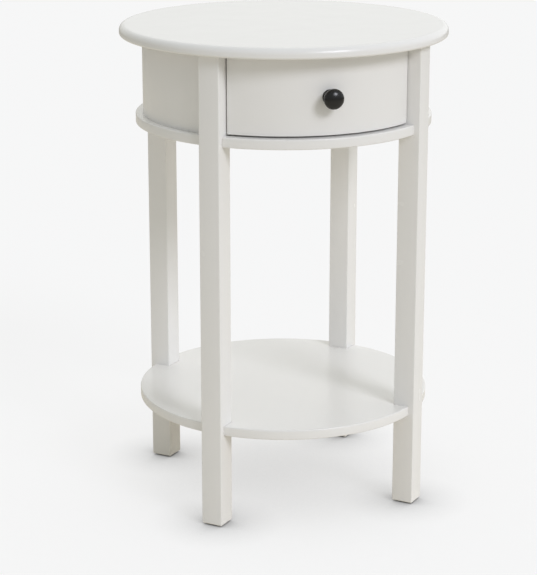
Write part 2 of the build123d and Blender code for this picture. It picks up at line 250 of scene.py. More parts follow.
# %% Groups: zinc spangle and fine skin
tree, given, result = group(
    "zinc spangle",
    {"Bright": (0.7, 0.7, 0.72, 1), "Dull": (0.5, 0.5, 0.52, 1), "Crystal": 700.0},
    {"Colour": "colour", "Roughness": "value", "Height": "value"},
)
here = object_coordinates(tree)
cells = add(tree, "ShaderNodeTexVoronoi")
join(tree, here, cells.inputs["Vector"])
join(tree, given["Crystal"], cells.inputs["Scale"])
patch = add(tree, "ShaderNodeSeparateColor")
join(tree, cells.outputs["Color"], patch.inputs[0])
smear = noise(tree, here, 120.0, 3.0)
tone = maths(tree, "MULTIPLY_ADD", patch.outputs[0], 0.6, maths(tree, "MULTIPLY", smear, 0.4))
join(tree, blended(tree, tone, given["Bright"], given["Dull"]), result["Colour"])
join(tree, maths(tree, "MULTIPLY_ADD", tone, 0.22, 0.28), result["Roughness"])
join(tree, maths(tree, "MULTIPLY", noise(tree, here, 2500.0), 2e-6), result["Height"])

tree, given, result = group(
    "fine skin",
    {"Colour": (0.5, 0.5, 0.5, 1), "Tone": (0.4, 0.4, 0.4, 1), "Roughness": 0.4, "Drift": 0.1,
     "Stipple": 2e-6, "Scale": 900.0},
    {"Colour": "colour", "Roughness": "value", "Height": "value"},
)
here = object_coordinates(tree)
slow = noise(tree, here, 110.0, 3.0)
join(tree, blended(tree, slow, given["Colour"], given["Tone"]), result["Colour"])
centred = maths(tree, "SUBTRACT", slow, 0.5)
join(tree, maths(tree, "MULTIPLY_ADD", centred, given["Drift"], given["Roughness"]), result["Roughness"])
stipple = noise(tree, here, given["Scale"], 1.0)
join(tree, maths(tree, "MULTIPLY", stipple, given["Stipple"]), result["Height"])
print("groups:", [g.name for g in bpy.data.node_groups])

# %% [markdown]
# ## The materials
# Each material places a group, gives it this table's values, and feeds one Principled shader. What is
# the same all over, such as the index of refraction, is set on the shader's own socket.

# %% Material helper
def material(name, metallic=0.0, ior=1.5):
    """An empty material with a Principled shader, and its node tree."""
    made = bpy.data.materials.new(name)
    made.use_nodes = True
    shader = made.node_tree.nodes["Principled BSDF"]
    shader.inputs["Metallic"].default_value = metallic
    shader.inputs["IOR"].default_value = ior
    return made, made.node_tree, shader


def dress(tree, shader, colour, roughness, height):
    """Feeds the three outputs that every surface group has into the shader."""
    join(tree, colour, shader.inputs["Base Color"])
    join(tree, roughness, shader.inputs["Roughness"])
    bump = add(tree, "ShaderNodeBump", {"Strength": 1.0, "Distance": 1.0})
    join(tree, height, bump.inputs["Height"])
    join(tree, bump.outputs[0], shader.inputs["Normal"])


# %% White lacquer on board and on posts
white = (0.865, 0.855, 0.835, 1)
lacquer_board, tree, shader = material("white_lacquer_board")
film = place_group(tree, "lacquer film", Colour=white, Cloud=0.02, Roughness=0.24, Drift=0.06)
dress(tree, shader, film["Colour"], film["Roughness"], film["Height"])

lacquer_post, tree, shader = material("white_lacquer_post")
film = place_group(tree, "lacquer film", Colour=white, Cloud=0.02, Roughness=0.26, Drift=0.06)
grain = noise(tree, scaled(tree, object_coordinates(tree), (300.0, 300.0, 5.0)), 1.0, 1.0)
telegraph = maths(tree, "MULTIPLY_ADD", grain, 2.5e-6, film["Height"])
dress(tree, shader, film["Colour"], film["Roughness"], telegraph)

# %% Bare beech, one material for each way the grain runs
beech_pale = (0.62, 0.42, 0.26, 1)
beech_dark = (0.47, 0.28, 0.155, 1)
quarter_turn = math.pi / 2
grain_turn = {"x": (0, 0, 0), "y": (0, 0, quarter_turn), "z": (0, quarter_turn, 0)}
beech = {}
for axis, turn in grain_turn.items():
    beech[axis], tree, shader = material("beech_along_" + axis)
    turned_place = scaled(tree, object_coordinates(tree), (1, 1, 1), turn=turn)
    wood = place_group(tree, "wood grain", Vector=turned_place, Pale=beech_pale, Dark=beech_dark, Fleck=0.55)
    dress(tree, shader, wood["Colour"], wood["Roughness"], wood["Height"])

# %% Birch plywood, whose edges show their plies
birch_pale = (0.74, 0.59, 0.41, 1)
birch_dark = (0.62, 0.45, 0.28, 1)
glue_dark = (0.42, 0.27, 0.15, 1)


def plywood(name, axis, middle, thickness, plies, turn):
    """Plywood as a solid texture: plies stacked along one axis, with every second one darker."""
    made, tree, shader = material(name)
    here = object_coordinates(tree)
    wood = place_group(tree, "wood grain", Vector=scaled(tree, here, (1, 1, 1), turn=turn),
                       Pale=birch_pale, Dark=birch_dark, Bands=60.0, Fleck=0.1)
    split = add(tree, "ShaderNodeSeparateXYZ")
    join(tree, here, split.inputs[0])
    through = maths(tree, "SUBTRACT", maths(tree, "ABSOLUTE", split.outputs[axis]), middle)
    ply = maths(tree, "MULTIPLY_ADD", through, plies / thickness, plies / 2)
    inside = maths(tree, "FLOOR", ply)
    crossed = maths(tree, "GREATER_THAN", maths(tree, "PINGPONG", inside, 1.0), 0.5)
    line = maths(tree, "LESS_THAN", maths(tree, "PINGPONG", ply, 0.5), 0.04)
    end_grain = blended(tree, maths(tree, "MULTIPLY", crossed, 0.55), wood["Colour"], birch_dark)
    glued = blended(tree, maths(tree, "MULTIPLY", line, 0.5), end_grain, glue_dark)
    dress(tree, shader, glued, wood["Roughness"], wood["Height"])
    return made


def middle_and_thickness(node, axis):
    """Where the middle of a board lies along one axis, and how thick the board is."""
    low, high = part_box(node)
    return abs(low[axis] + high[axis]) / 2, high[axis] - low[axis]


ply_side = plywood("birch_ply_side", 0, *middle_and_thickness("drawer_side_right", 0), 7, grain_turn["y"])
ply_back = plywood("birch_ply_back", 1, *middle_and_thickness("drawer_back", 1), 7, grain_turn["x"])
ply_bottom = plywood("birch_ply_bottom", 2, *middle_and_thickness("drawer_bottom", 2), 3, grain_turn["x"])

# %% Zinc-plated steel, black enamel and nylon
zinc, tree, shader = material("zinc_plated_steel", metallic=1.0)
spangle = place_group(tree, "zinc spangle")
dress(tree, shader, spangle["Colour"], spangle["Roughness"], spangle["Height"])

black_enamel, tree, shader = material("black_enamel")
skin = place_group(tree, "fine skin", Colour=(0.002, 0.002, 0.002, 1), Tone=(0.005, 0.0048, 0.0046, 1),
                   Roughness=0.26, Drift=0.06, Stipple=1.5e-6, Scale=1400.0)
dress(tree, shader, skin["Colour"], skin["Roughness"], skin["Height"])

nylon, tree, shader = material("natural_nylon", ior=1.53)
skin = place_group(tree, "fine skin", Colour=(0.78, 0.77, 0.73, 1), Tone=(0.68, 0.66, 0.6, 1),
                   Roughness=0.48, Drift=0.15, Stipple=4e-6, Scale=1800.0)
dress(tree, shader, skin["Colour"], skin["Roughness"], skin["Height"])
print("materials:", [m.name for m in bpy.data.materials])

# %% [markdown]
# ## Floor
# The table stands on a pale paper sweep. The camera should see clean paper with soft, light shadows,
# while the table should still catch a natural bounce. So the floor has two faces. To the camera it is
# mostly its own glow, plus a little real shading. The soft shadows in that glow are painted shade:
# ambient occlusion darkens the glow twice, over a short reach close to the feet and over a long reach
# below the shelf. To every other ray the floor is matt paper whose colour is painted darker further out,
# standing in for the way light falls off over a lit sweep.

# %% Floor
paper_tone = 0.913                         # what the camera sees far from the table
shading_share = 0.13                       # how much of that is real light and shadow
floor_light = 0.77                         # what the lights below give a level surface
bounce_near = (0.81, 0.755, 0.65, 1)
bounce_far = (0.35, 0.33, 0.29, 1)
sweep_near = 1.5                           # metres from the table's axis
sweep_far = 5.0
contact_reach = 0.07
shade_reach = 0.3                          # the soft grey below the shelf
shade_depth = 0.36

reach = 30.0
floor_mesh = bpy.data.meshes.new("floor")
floor_mesh.from_pydata([(-reach, -reach, 0), (reach, -reach, 0), (reach, reach, 0), (-reach, reach, 0)],
                       [], [(0, 1, 2, 3)])
floor = bpy.data.objects.new("floor", floor_mesh)
bpy.context.scene.collection.objects.link(floor)
paper = bpy.data.materials.new("floor_paper")
paper.use_nodes = True
tree = paper.node_tree
tree.nodes.clear()
# Painted shade: two ambient occlusion reads darken the glow the camera sees, near the feet and below the
# shelf.
contact = add(tree, "ShaderNodeAmbientOcclusion", {"Distance": contact_reach}, samples=8)
glow = add(tree, "ShaderNodeEmission")
wide = add(tree, "ShaderNodeAmbientOcclusion", {"Distance": shade_reach}, samples=8)
covered = maths(tree, "SUBTRACT", 1.0, wide.outputs["AO"])
painted_shelf_shade = maths(tree, "MULTIPLY", maths(tree, "POWER", covered, 2.0), shade_depth)
open_part = maths(tree, "SUBTRACT", 1.0, painted_shelf_shade)
painted_shade_glow = maths(tree, "MULTIPLY", maths(tree, "MULTIPLY", contact.outputs["AO"], open_part),
             paper_tone * (1 - shading_share))
join(tree, painted_shade_glow, glow.inputs["Strength"])
shaded = paper_tone * shading_share / floor_light
matt = add(tree, "ShaderNodeBsdfDiffuse", {"Color": (shaded, shaded, shaded, 1)})
seen = add(tree, "ShaderNodeAddShader")
join(tree, glow.outputs[0], seen.inputs[0])
join(tree, matt.outputs[0], seen.inputs[1])
# Painted light falloff: the colour that the other rays see is made darker further from the table's axis.
away_from_axis = add(tree, "ShaderNodeVectorMath", operation="LENGTH")
join(tree, add(tree, "ShaderNodeNewGeometry").outputs["Position"], away_from_axis.inputs[0])
falloff = add(tree, "ShaderNodeMapRange", {"From Min": sweep_near, "From Max": sweep_far})
join(tree, away_from_axis.outputs["Value"], falloff.inputs["Value"])
bounced = add(tree, "ShaderNodeBsdfDiffuse")
join(tree, blended(tree, falloff.outputs[0], bounce_near, bounce_far), bounced.inputs["Color"])
either = add(tree, "ShaderNodeMixShader")
join(tree, add(tree, "ShaderNodeLightPath").outputs["Is Camera Ray"], either.inputs[0])
join(tree, bounced.outputs[0], either.inputs[1])
join(tree, seen.outputs[0], either.inputs[2])
join(tree, either.outputs[0], add(tree, "ShaderNodeOutputMaterial").inputs[0])
floor_mesh.materials.append(paper)
print("floor reaches", reach, "metres each way")

# %% [markdown]
# ## Light
# There is one key light, to the right of the drawer and above it. It is a sun with a wide angle, which
# gives the even light and the soft shadows of a large softbox some way off. It is a little cool, and
# the light that the paper sends back up is a little warm, as wood and cream lacquer make it. The room
# is an even pale grey with a brighter backdrop behind the table and a soft card on its right.

# %% Key light and room
key_direction = Vector((0.311, -0.771, 0.555))
key_strength = 1.17
key_colour = (0.99, 1.0, 1.09)
key_angle = math.radians(20)
key_data = bpy.data.lights.new("key", "SUN")
key_data.energy = key_strength
key_data.color = key_colour
key_data.angle = key_angle
key = bpy.data.objects.new("key", key_data)
bpy.context.scene.collection.objects.link(key)
key.rotation_euler = key_direction.to_track_quat("Z", "Y").to_euler()

room_level = (0.47, 0.485, 0.48)           # the same from everywhere
card_middle = 0.95                         # a card is at its full brightness past this cosine
cards = {                                  # the way to each card's middle, and what it adds
    "backdrop": (Vector((0.31, 0.95, 0.2)), (0.36, 0.34, 0.30)),
    "right wall": (Vector((0.95, 0.31, 0.2)), (0.26, 0.27, 0.29)),
}
world = bpy.data.worlds.new("room")
bpy.context.scene.world = world
world.use_nodes = True
tree = world.node_tree
background = tree.nodes["Background"]
direction = add(tree, "ShaderNodeTexCoord").outputs["Generated"]
lit = add(tree, "ShaderNodeCombineColor", dict(zip(("Red", "Green", "Blue"), room_level))).outputs[0]
for middle, colour in cards.values():
    towards = add(tree, "ShaderNodeVectorMath", {1: tuple(middle.normalized())}, operation="DOT_PRODUCT")
    join(tree, direction, towards.inputs[0])
    spread = add(tree, "ShaderNodeMapRange", {"From Min": 0.0, "From Max": card_middle},
                 interpolation_type="SMOOTHSTEP")
    join(tree, towards.outputs["Value"], spread.inputs["Value"])
    lit = blended(tree, spread.outputs[0], lit, added(tree, lit, (*colour, 1)))
straight = add(tree, "ShaderNodeLightPath").outputs["Is Camera Ray"]
shown = blended(tree, straight, lit, (paper_tone, paper_tone, paper_tone, 1))
join(tree, shown, background.inputs["Color"])
print("key light from", tuple(round(v, 2) for v in key_direction))

# %% [markdown]
# ## Shapes as arrays
# Nearly every piece of this table is a flat outline with some thickness: a round board, a curved
# panel, a square post, a strip. So one idea makes them all. An outline runs anticlockwise round the
# piece, and a small profile of the board's edge is carried round it. The profile is a list of pairs:
# how far inwards, and how high. Quarter circles in the profile are what eases an edge.

# %% Profile and outline helpers
def edge_profile(low, high, low_round, high_round, steps=7, ring=1.5 * mm):
    """A board's edge as (inset, height) pairs. A quarter round of radius r is inset r (1 - sin t),
    height r (1 - cos t), and one more pair at each end keeps a narrow flat ring beside the round."""
    t = np.linspace(0, np.pi / 2, steps)[:, None]
    below = np.hstack([low_round * (1 - np.sin(t)), low + low_round * (1 - np.cos(t))])
    above = np.hstack([high_round * (1 - np.cos(t)), high - high_round * (1 - np.sin(t))])
    return np.vstack([[[low_round + ring, low]], below, above, [[high_round + ring, high]]])


def arc(radius, start, end, count, last=True):
    """Points (r cos a, r sin a) about the table's axis, with a from start to end in degrees."""
    a = np.radians(np.linspace(start, end, count, endpoint=last))
    return np.stack([radius * np.cos(a), radius * np.sin(a)], 1)


def inward_normals(outline):
    """The unit normal of each side, pointing into the outline: the side's direction turned left."""
    ahead = np.roll(outline, -1, 0) - outline
    ahead = ahead / np.linalg.norm(ahead, axis=1, keepdims=True)
    return np.stack([-ahead[:, 1], ahead[:, 0]], 1)


def mitres(outline):
    """How far each corner moves for an inset of one: (n0 + n1) / (1 + n0 . n1), n0 and n1 being the
    inward normals of the two sides that meet there."""
    after = inward_normals(outline)
    before = np.roll(after, 1, 0)
    return (before + after) / (1 + (before * after).sum(1, keepdims=True))


def eased(outline, inset, corner, steps):
    """The outline moved inwards, with its sharp corners rounded: arcs about P + s r m from one side's
    normal to the next, where m is the corner's mitre and s is 1 where the outline turns left and -1
    where it turns right. Inwards, outer corners get tighter (r = corner - inset) and inner ones wider."""
    after = inward_normals(outline)
    before = np.roll(after, 1, 0)
    turn = np.arctan2(before[:, 0] * after[:, 1] - before[:, 1] * after[:, 0], (before * after).sum(1))
    sharp = np.abs(turn) > 0.5
    side = np.sign(turn)
    radius = np.where(sharp, side * np.maximum(corner - side * inset, 0.03 * mm), 0)
    copies = np.where(sharp, steps, 1)
    k = np.repeat(np.arange(len(outline)), copies)
    share = (np.arange(len(k)) - np.repeat(np.cumsum(copies) - copies, copies)) / (steps - 1)
    a = (np.arctan2(before[:, 1], before[:, 0]))[k] + turn[k] * share
    moved = outline + (inset + radius)[:, None] * mitres(outline)
    return moved[k] - radius[k, None] * np.stack([np.cos(a), np.sin(a)], 1)


def carried(outline, profile, corner=0.5 * mm, steps=5):
    """The edge profile carried round the outline: each row is the outline eased by that row's inset, at
    that row's height."""
    rows = [eased(outline, inset, corner, steps) for inset, height in profile]
    flat = np.stack(rows)
    height = np.broadcast_to(profile[:, 1, None, None], flat.shape[:2] + (1,))
    return np.concatenate([flat, height], 2)


def around(columns):
    """Angles of a full turn, as one row."""
    return np.linspace(0, 2 * np.pi, columns, endpoint=False)[None]


def round_grid(radius, height, a):
    """Points (r cos a, r sin a, z) from radii and heights that may change with the angle."""
    return np.stack([radius * np.cos(a), radius * np.sin(a), height + 0 * a], 2)


def turned(profile, columns=96):
    """A surface of revolution about Z from (radius, height) pairs."""
    return round_grid(profile[:, :1], profile[:, 1:], around(columns))


def placed(points, origin, x_axis, y_axis, z_axis):
    """Local points in the table's frame: origin + x X + y Y + z Z."""
    return np.asarray(origin) + points @ np.array([x_axis, y_axis, z_axis], float)


# %% [markdown]
# ## From arrays to a piece
# A grid of points wraps round in one direction and is closed at its two ends by a flat face. The end
# faces are shaded flat and everything else smooth, with edges over forty degrees kept sharp, so a
# board's face stays truly flat beside its eased edge. A grid whose last row repeats its first is a
# ring, such as a washer, and has no end faces. If the volume comes out negative the shell is inside
# out, and its faces are turned over.

# %% Piece helpers
sharp_angle = math.radians(40)


def grid_faces(rows, columns, first, ring):
    """Quads between neighbouring rows of a grid that wraps round its columns. A ring's last row joins
    its first one again; any other grid gets two end faces."""
    j, i = np.meshgrid(np.arange(rows if ring else rows - 1), np.arange(columns), indexing="ij")
    here, above, beside = j * columns, (j + 1) % rows * columns, (i + 1) % columns
    quads = np.stack([here + i, here + beside, above + beside, above + i], 2)
    quads = (quads.reshape(-1, 4) + first).tolist()
    if ring:
        return quads, []
    start = list(range(first, first + columns))
    end = list(range(first + (rows - 1) * columns, first + rows * columns))
    return quads, [start[::-1], end]


def volume(mesh):
    """The sum over triangles of a . (b x c) / 6, positive when the faces point outwards."""
    mesh.calc_loop_triangles()
    corners = np.empty(len(mesh.loop_triangles) * 3, np.int32)
    mesh.loop_triangles.foreach_get("vertices", corners)
    points = np.empty(len(mesh.vertices) * 3)
    mesh.vertices.foreach_get("co", points)
    a, b, c = points.reshape(-1, 3)[corners.reshape(-1, 3)].transpose(1, 0, 2)
    return float((a * np.cross(b, c)).sum() / 6)


def piece(name, grids, finish, body, slot, *nodes):
    """Makes one piece from its grids, gives it its finish, and lets it ride on its body in place of
    these CAD nodes."""
    points, sides, ends, first = [], [], [], 0
    for grid in grids:
        ring = np.allclose(grid[0], grid[-1], atol=1e-9)
        grid = grid[:-1] if ring else grid
        rows, columns = grid.shape[:2]
        quads, caps = grid_faces(rows, columns, first, ring)
        points.append(grid.reshape(-1, 3))
        sides += quads
        ends += caps
        first += rows * columns
    mesh = bpy.data.meshes.new(name)
    mesh.from_pydata(np.vstack(points).tolist(), [], sides + ends)
    mesh.polygons.foreach_set("use_smooth", [True] * len(sides) + [False] * len(ends))
    if volume(mesh) < 0:
        mesh.flip_normals()
    mesh.set_sharp_from_angle(angle=sharp_angle)
    mesh.materials.append(finish)
    made = bpy.data.objects.new(name, mesh)
    bpy.context.scene.collection.objects.link(made)
    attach(made, body)
    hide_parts(*nodes)
    print(f"{name}: {len(mesh.polygons)} faces, {volume(mesh) * 1e6:.1f} cubic centimetres")
    return made


def wear(finish, *nodes):
    """CAD nodes that keep their own shape get a finish."""
    for node in nodes:
        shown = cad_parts[node].data
        shown.materials.clear()
        shown.materials.append(finish)


# %% [markdown]
# ## The round top
# The top is a disc of board with a large round on its upper edge and a small one below, so light rolls
# over the rim and ends in a thin bright lip. A lathe profile would do, but the board helper already
# carries any edge round any outline, and a circle is the simplest outline.

# %% Table top
low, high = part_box("table_top")
top_radius = min(high.x, high.y)
circle = arc(top_radius, 0, 360, 360, last=False)
rim = edge_profile(low.z, high.z, 3.0 * mm, 7.5 * mm, steps=20, ring=4 * mm)
piece("round_top", [carried(circle, rim)], lacquer_board, "table_frame", "white_lacquer", "table_top")

# %% [markdown]
# ## Four square posts
# Each post is turned so that one face looks straight out from the table's axis. The section is a
# square with eased arrises, and the profile up the post has one chamfer at the foot. The post's place
# comes from the middle of its CAD box, and its direction from the axis to that middle.

# %% Posts
post_width = 27 * mm
arris_round = 1.3 * mm
foot_chamfer = 1.0 * mm
leg_names = ["front_left", "front_right", "back_left", "back_right"]


def rectangle(width, depth):
    """A rectangle's corners, anticlockwise, about the origin."""
    return np.array([(-width, -depth), (width, -depth), (width, depth), (-width, depth)]) / 2


section = rectangle(post_width, post_width)
posts = {}
for name in leg_names:
    low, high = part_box("leg_" + name)
    middle = np.array([low.x + high.x, low.y + high.y]) / 2
    outward = middle / np.linalg.norm(middle)
    posts[name] = (middle, outward)
    chamfered = np.array([[foot_chamfer + mm, low.z], [foot_chamfer, low.z], [0, low.z + foot_chamfer],
                          [0, high.z]])
    grid = carried(section, chamfered, arris_round, steps=7)
    grid = placed(grid, (*middle, 0), (*outward, 0), (-outward[1], outward[0], 0), (0, 0, 1))
    piece("post_" + name, [grid], lacquer_post, "table_frame", "white_lacquer", "leg_" + name)

# %% [markdown]
# ## Curved panels of the drum
# The sides and back of the drum are bent panels between the posts, and the drawer front is one more of
# them with a little room at each end. Their outline is two arcs about the table's axis. Each arc stops
# at the same distance from the post's middle plane, so the ends lie parallel to the post's sides: at
# radius r, the arc starts asin(offset / r) past the post's direction.

# %% Aprons and drawer front
def curved_strip(middle_angle, outer, inner, offset, count=72):
    """Outline of a curved panel between two posts at middle_angle - 45 and middle_angle + 45 degrees."""
    outer_end = 45 - math.degrees(math.asin(offset / outer))
    inner_end = 45 - math.degrees(math.asin(offset / inner))
    outside = arc(outer, middle_angle - outer_end, middle_angle + outer_end, count)
    inside = arc(inner, middle_angle + inner_end, middle_angle - inner_end, count)
    return np.vstack([outside, inside])


apron_angles = {"left": 180, "right": 0, "back": 90}
drum_radius = -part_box("apron_left")[0].x
panel_thickness = 12 * mm
for side, angle in apron_angles.items():
    low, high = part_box("apron_" + side)
    outline = curved_strip(angle, drum_radius, drum_radius - panel_thickness, post_width / 2)
    grid = carried(outline, edge_profile(low.z, high.z, 0.5 * mm, 0.5 * mm, steps=4), 0.3 * mm)
    piece("drum_panel_" + side, [grid], lacquer_board, "table_frame", "white_lacquer", "apron_" + side)

front_gap = 1.5 * mm
low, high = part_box("drawer_front")
outline = curved_strip(-90, drum_radius, drum_radius - panel_thickness, post_width / 2 + front_gap, 96)
grid = carried(outline, edge_profile(low.z, high.z, 1.0 * mm, 1.0 * mm, ring=0.4 * mm), 1.0 * mm, steps=7)
piece("curved_front", [grid], lacquer_board, "drawer", "white_lacquer", "drawer_front")

# %% [markdown]
# ## Two notched boards
# The board under the drum and the lower shelf are the same round board, cut out square round each
# post. Between two notches the outline is an arc. At each post it steps in along the post's side,
# crosses its inner face, and steps out again.

# %% Housing floor and lower shelf
def notched_circle(radius, depth_radius, half_width):
    """Outline of a round board with a square notch at 45, 135, 225 and 315 degrees."""
    mouth = math.degrees(math.asin(half_width / radius))
    parts = []
    for angle in (45, 135, 225, 315):
        out = np.array([math.cos(math.radians(angle)), math.sin(math.radians(angle))])
        across = np.array([-out[1], out[0]])
        parts.append([out * depth_radius - across * half_width, out * depth_radius + across * half_width])
        parts.append(arc(radius, angle + mouth, angle + 90 - mouth, 80))
    return np.vstack(parts)


post_inner = float(np.linalg.norm(posts["front_left"][0])) - post_width / 2
for name, node in (("drum_board", "housing_floor"), ("shelf_board", "lower_shelf")):
    low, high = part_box(node)
    outline = notched_circle(high.x, post_inner, post_width / 2)
    grid = carried(outline, edge_profile(low.z, high.z, 1.4 * mm, 1.4 * mm))
    piece(name, [grid], lacquer_board, "table_frame", "white_lacquer", node)

# %% [markdown]
# ## Wooden strips and the drawer box
# Inside are plain strips and a plywood box. They need only what a sander gives them: a soft half
# millimetre on every edge. The drawer's sides and bottom end in the curve of the front, so their
# outlines finish on an arc.

# %% Strips, blocks and tapes
def straight_board(name, node, finish, body, slot, corner=0.5 * mm, edge=0.5 * mm):
    """A board with the size and place of its CAD node and all its edges eased."""
    low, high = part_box(node)
    outline = rectangle(high.x - low.x, high.y - low.y) + [(low.x + high.x) / 2, (low.y + high.y) / 2]
    grid = carried(outline, edge_profile(low.z, high.z, edge, edge, steps=4, ring=0.3 * mm), corner)
    return piece(name, [grid], finish, body, slot, node)


for side in ("left", "right"):
    straight_board("guide_strip_" + side, "guide_rail_" + side, beech["y"], "table_frame", "beech")
    straight_board("kicker_strip_" + side, "kicker_rail_" + side, beech["y"], "table_frame", "beech")
    straight_board("slide_tape_" + side, "glide_tape_" + side, nylon, "table_frame", "nylon",
                   corner=1.0 * mm, edge=0.2 * mm)
straight_board("stop_strip", "stop_rail", beech["x"], "table_frame", "beech")
straight_board("stop_block", "stop_tab", beech["z"], "drawer", "beech", 0.8 * mm, 0.8 * mm)
straight_board("box_back", "drawer_back", ply_back, "drawer", "birch_plywood")

# %% Pieces that end on the curve of the front
def curve_ended(x_low, x_high, y_back, radius, count):
    """Outline between two X values from y_back to the circle of this radius: y = -sqrt(r^2 - x^2)."""
    x = np.linspace(x_low, x_high, count)
    front = np.stack([x, -np.sqrt(radius ** 2 - x ** 2)], 1)
    return np.vstack([front, [(x_high, y_back), (x_low, y_back)]])


def curve_ended_board(name, node, finish, slot, radius, edge=0.5 * mm, count=5):
    """A board of the drawer box with its front end cut to the drawer front's curve. The curve's steps
    stay longer than the inset of its end faces."""
    low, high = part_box(node)
    outline = curve_ended(low.x, high.x, high.y, radius, count)
    grid = carried(outline, edge_profile(low.z, high.z, edge, edge, steps=5, ring=0.3 * mm), 0.3 * mm)
    return piece(name, [grid], finish, "drawer", slot, node)


inner_radius = drum_radius - panel_thickness
glue_line = 0.1 * mm
groove_reach = 4.8 * mm
for side in ("left", "right"):
    curve_ended_board("box_side_" + side, "drawer_side_" + side, ply_side, "birch_plywood",
                      inner_radius - glue_line, 0.8 * mm)
    curve_ended_board("corner_block_" + side, "front_block_" + side, beech["z"], "beech",
                      inner_radius - glue_line)
curve_ended_board("box_bottom", "drawer_bottom", ply_bottom, "birch_plywood", inner_radius + groove_reach,
                  0.2 * mm, 24)

# %% [markdown]
# ## Finding each fastener in the frame
# Screws of one kind share one CAD node, so the node is a heap of loose triangles from several screws.
# To find each one, every point takes the lowest number among the triangles it touches, again and
# again, until nothing changes: points of one screw then share a number. A screw's axis is the
# direction in which its points spread most, and its head is the end where they lie widest.

# %% Fastener finder
def solids_in(node):
    """The points of each separate solid in a CAD node, as a list of arrays."""
    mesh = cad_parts[node].data
    points = np.empty(len(mesh.vertices) * 3)
    mesh.vertices.foreach_get("co", points)
    corners = np.empty(len(mesh.loops), np.int32)
    mesh.loops.foreach_get("vertex_index", corners)
    distinct, index = np.unique(np.round(points.reshape(-1, 3), 6), axis=0, return_inverse=True)
    triangles = index.ravel()[corners].reshape(-1, 3)
    label = np.arange(len(distinct))
    while True:
        lower = label.copy()
        np.minimum.at(lower, triangles, label[triangles].min(1, keepdims=True))
        if (lower == label).all():
            return [distinct[label == k] for k in np.unique(label)]
        label = lower


def lie_of(points):
    """Where a round fastener starts, its direction from head to tip, and its length."""
    centre = (points.min(0) + points.max(0)) / 2
    axis = np.linalg.svd(points - points.mean(0), full_matrices=False)[2][0]
    along = (points - centre) @ axis
    across = np.linalg.norm(points - centre - along[:, None] * axis, axis=1)
    if across[along > 0].max() > across[along < 0].max() + 1e-5:
        axis, along = -axis, -along
    on_axis = points[along < along.min() + 1e-5].mean(0)
    return on_axis, axis, float(np.ptp(along))


def axes_about(direction):
    """Two axes across a direction, so that the three are right-handed."""
    helper = np.array([0, 0, 1.0]) if abs(direction[2]) < 0.9 else np.array([1.0, 0, 0])
    x_axis = np.cross(helper, direction)
    x_axis = x_axis / np.linalg.norm(x_axis)
    return x_axis, np.cross(direction, x_axis), direction


def in_place(node, make):
    """One grid for each fastener of a node: make(length) laid along the fastener's own axis."""
    grids = []
    for solid in solids_in(node):
        start, direction, length = lie_of(solid)
        grids.append(placed(make(length), start, *axes_about(direction)))
    return grids


# %% [markdown]
# ## Screws and dowels
# A wood screw is one surface. From the middle of its head it runs out over a shallow dome with a
# cross cut into it, down the countersink, and along a shank whose radius follows a thread: at height z
# and angle a the thread's phase is z / pitch - a / 2 pi, and its crest is a narrow triangle in that
# phase. A dowel is a cylinder with shallow flutes, r (1 - f max(0, cos n a)), and softened ends.

# %% Screws
head_radius = 3.5 * mm
shank_radius = 1.75 * mm
core_radius = 1.3 * mm
dome_height = 0.55 * mm
recess_share = 0.85                        # of the dome's height
recess_radius = 2.1 * mm
recess_width = 0.85 * mm
recess_slope = 0.15 * mm
thread_pitch = 1.5 * mm
tip_length = 3.0 * mm


def cross_recess(r, a):
    """How far into the cross a point of the head is, from 0 outside to 1 at its bottom."""
    nearest = np.minimum(np.abs(r * np.cos(a)), np.abs(r * np.sin(a)))
    across = np.clip((recess_width / 2 - nearest) / recess_slope, 0, 1)
    return across * np.clip((recess_radius - r) / recess_slope, 0, 1)


def threaded(z, a, start, end, core, crest, pitch, tip):
    """Radius of a threaded rod: core + (crest - core) max(0, 1 - 2.2 |2 phase - 1|), where the phase is
    the fraction of z / pitch - a / 2 pi. It narrows in a straight line over the last stretch."""
    phase = np.mod((z - start) / pitch - a / (2 * np.pi), 1.0)
    ridge = np.clip(1 - 2.2 * np.abs(2 * phase - 1), 0, 1)
    return (core + (crest - core) * ridge) * np.clip((end - z) / tip, 0.02, 1)


def wood_screw(length):
    """A wood screw along +Z from its head. Rows: dome with its cross, countersink, thread, tip."""
    a = around(56)
    r_head = np.linspace(0.05 * mm, head_radius, 20)[:, None]
    dome = dome_height * (1 - (r_head / head_radius) ** 2)
    z_head = -dome * (1 - recess_share * cross_recess(r_head, a))
    z_cone = np.linspace(0.2 * mm, head_radius - shank_radius, 3)[:, None]
    z_body = np.linspace(head_radius - shank_radius + 0.1 * mm, length - 0.05 * mm, 62)[:, None]
    r_body = threaded(z_body, a, 0, length, core_radius, shank_radius, thread_pitch, tip_length)
    radius = np.vstack([r_head + 0 * a, head_radius - z_cone + 0 * a, r_body])
    height = np.vstack([z_head, z_cone + 0 * a, z_body + 0 * a])
    return round_grid(radius, height, a)


screw_nodes = {
    "bracket_screws": "table_frame", "housing_floor_screws": "table_frame",
    "guide_rail_screws": "table_frame", "kicker_rail_screws": "table_frame",
    "stop_rail_screws": "table_frame", "drawer_back_screws": "drawer", "stop_tab_screws": "drawer",
}
for node, body in screw_nodes.items():
    piece("threaded_" + node, in_place(node, wood_screw), zinc, body, "zinc_steel", node)

# %% Dowels
dowel_radius = 3 * mm
flutes = 16
flute_depth = 0.05


def dowel(length):
    """A fluted dowel along +Z with a quarter round of half a millimetre at each end."""
    a = around(64)
    profile = edge_profile(0, length, 0.5 * mm, 0.5 * mm, steps=4, ring=0.3 * mm)
    r = (dowel_radius - profile[:, :1]) * (1 - flute_depth * np.maximum(0, np.cos(flutes * a)))
    return round_grid(r, profile[:, 1:], a)


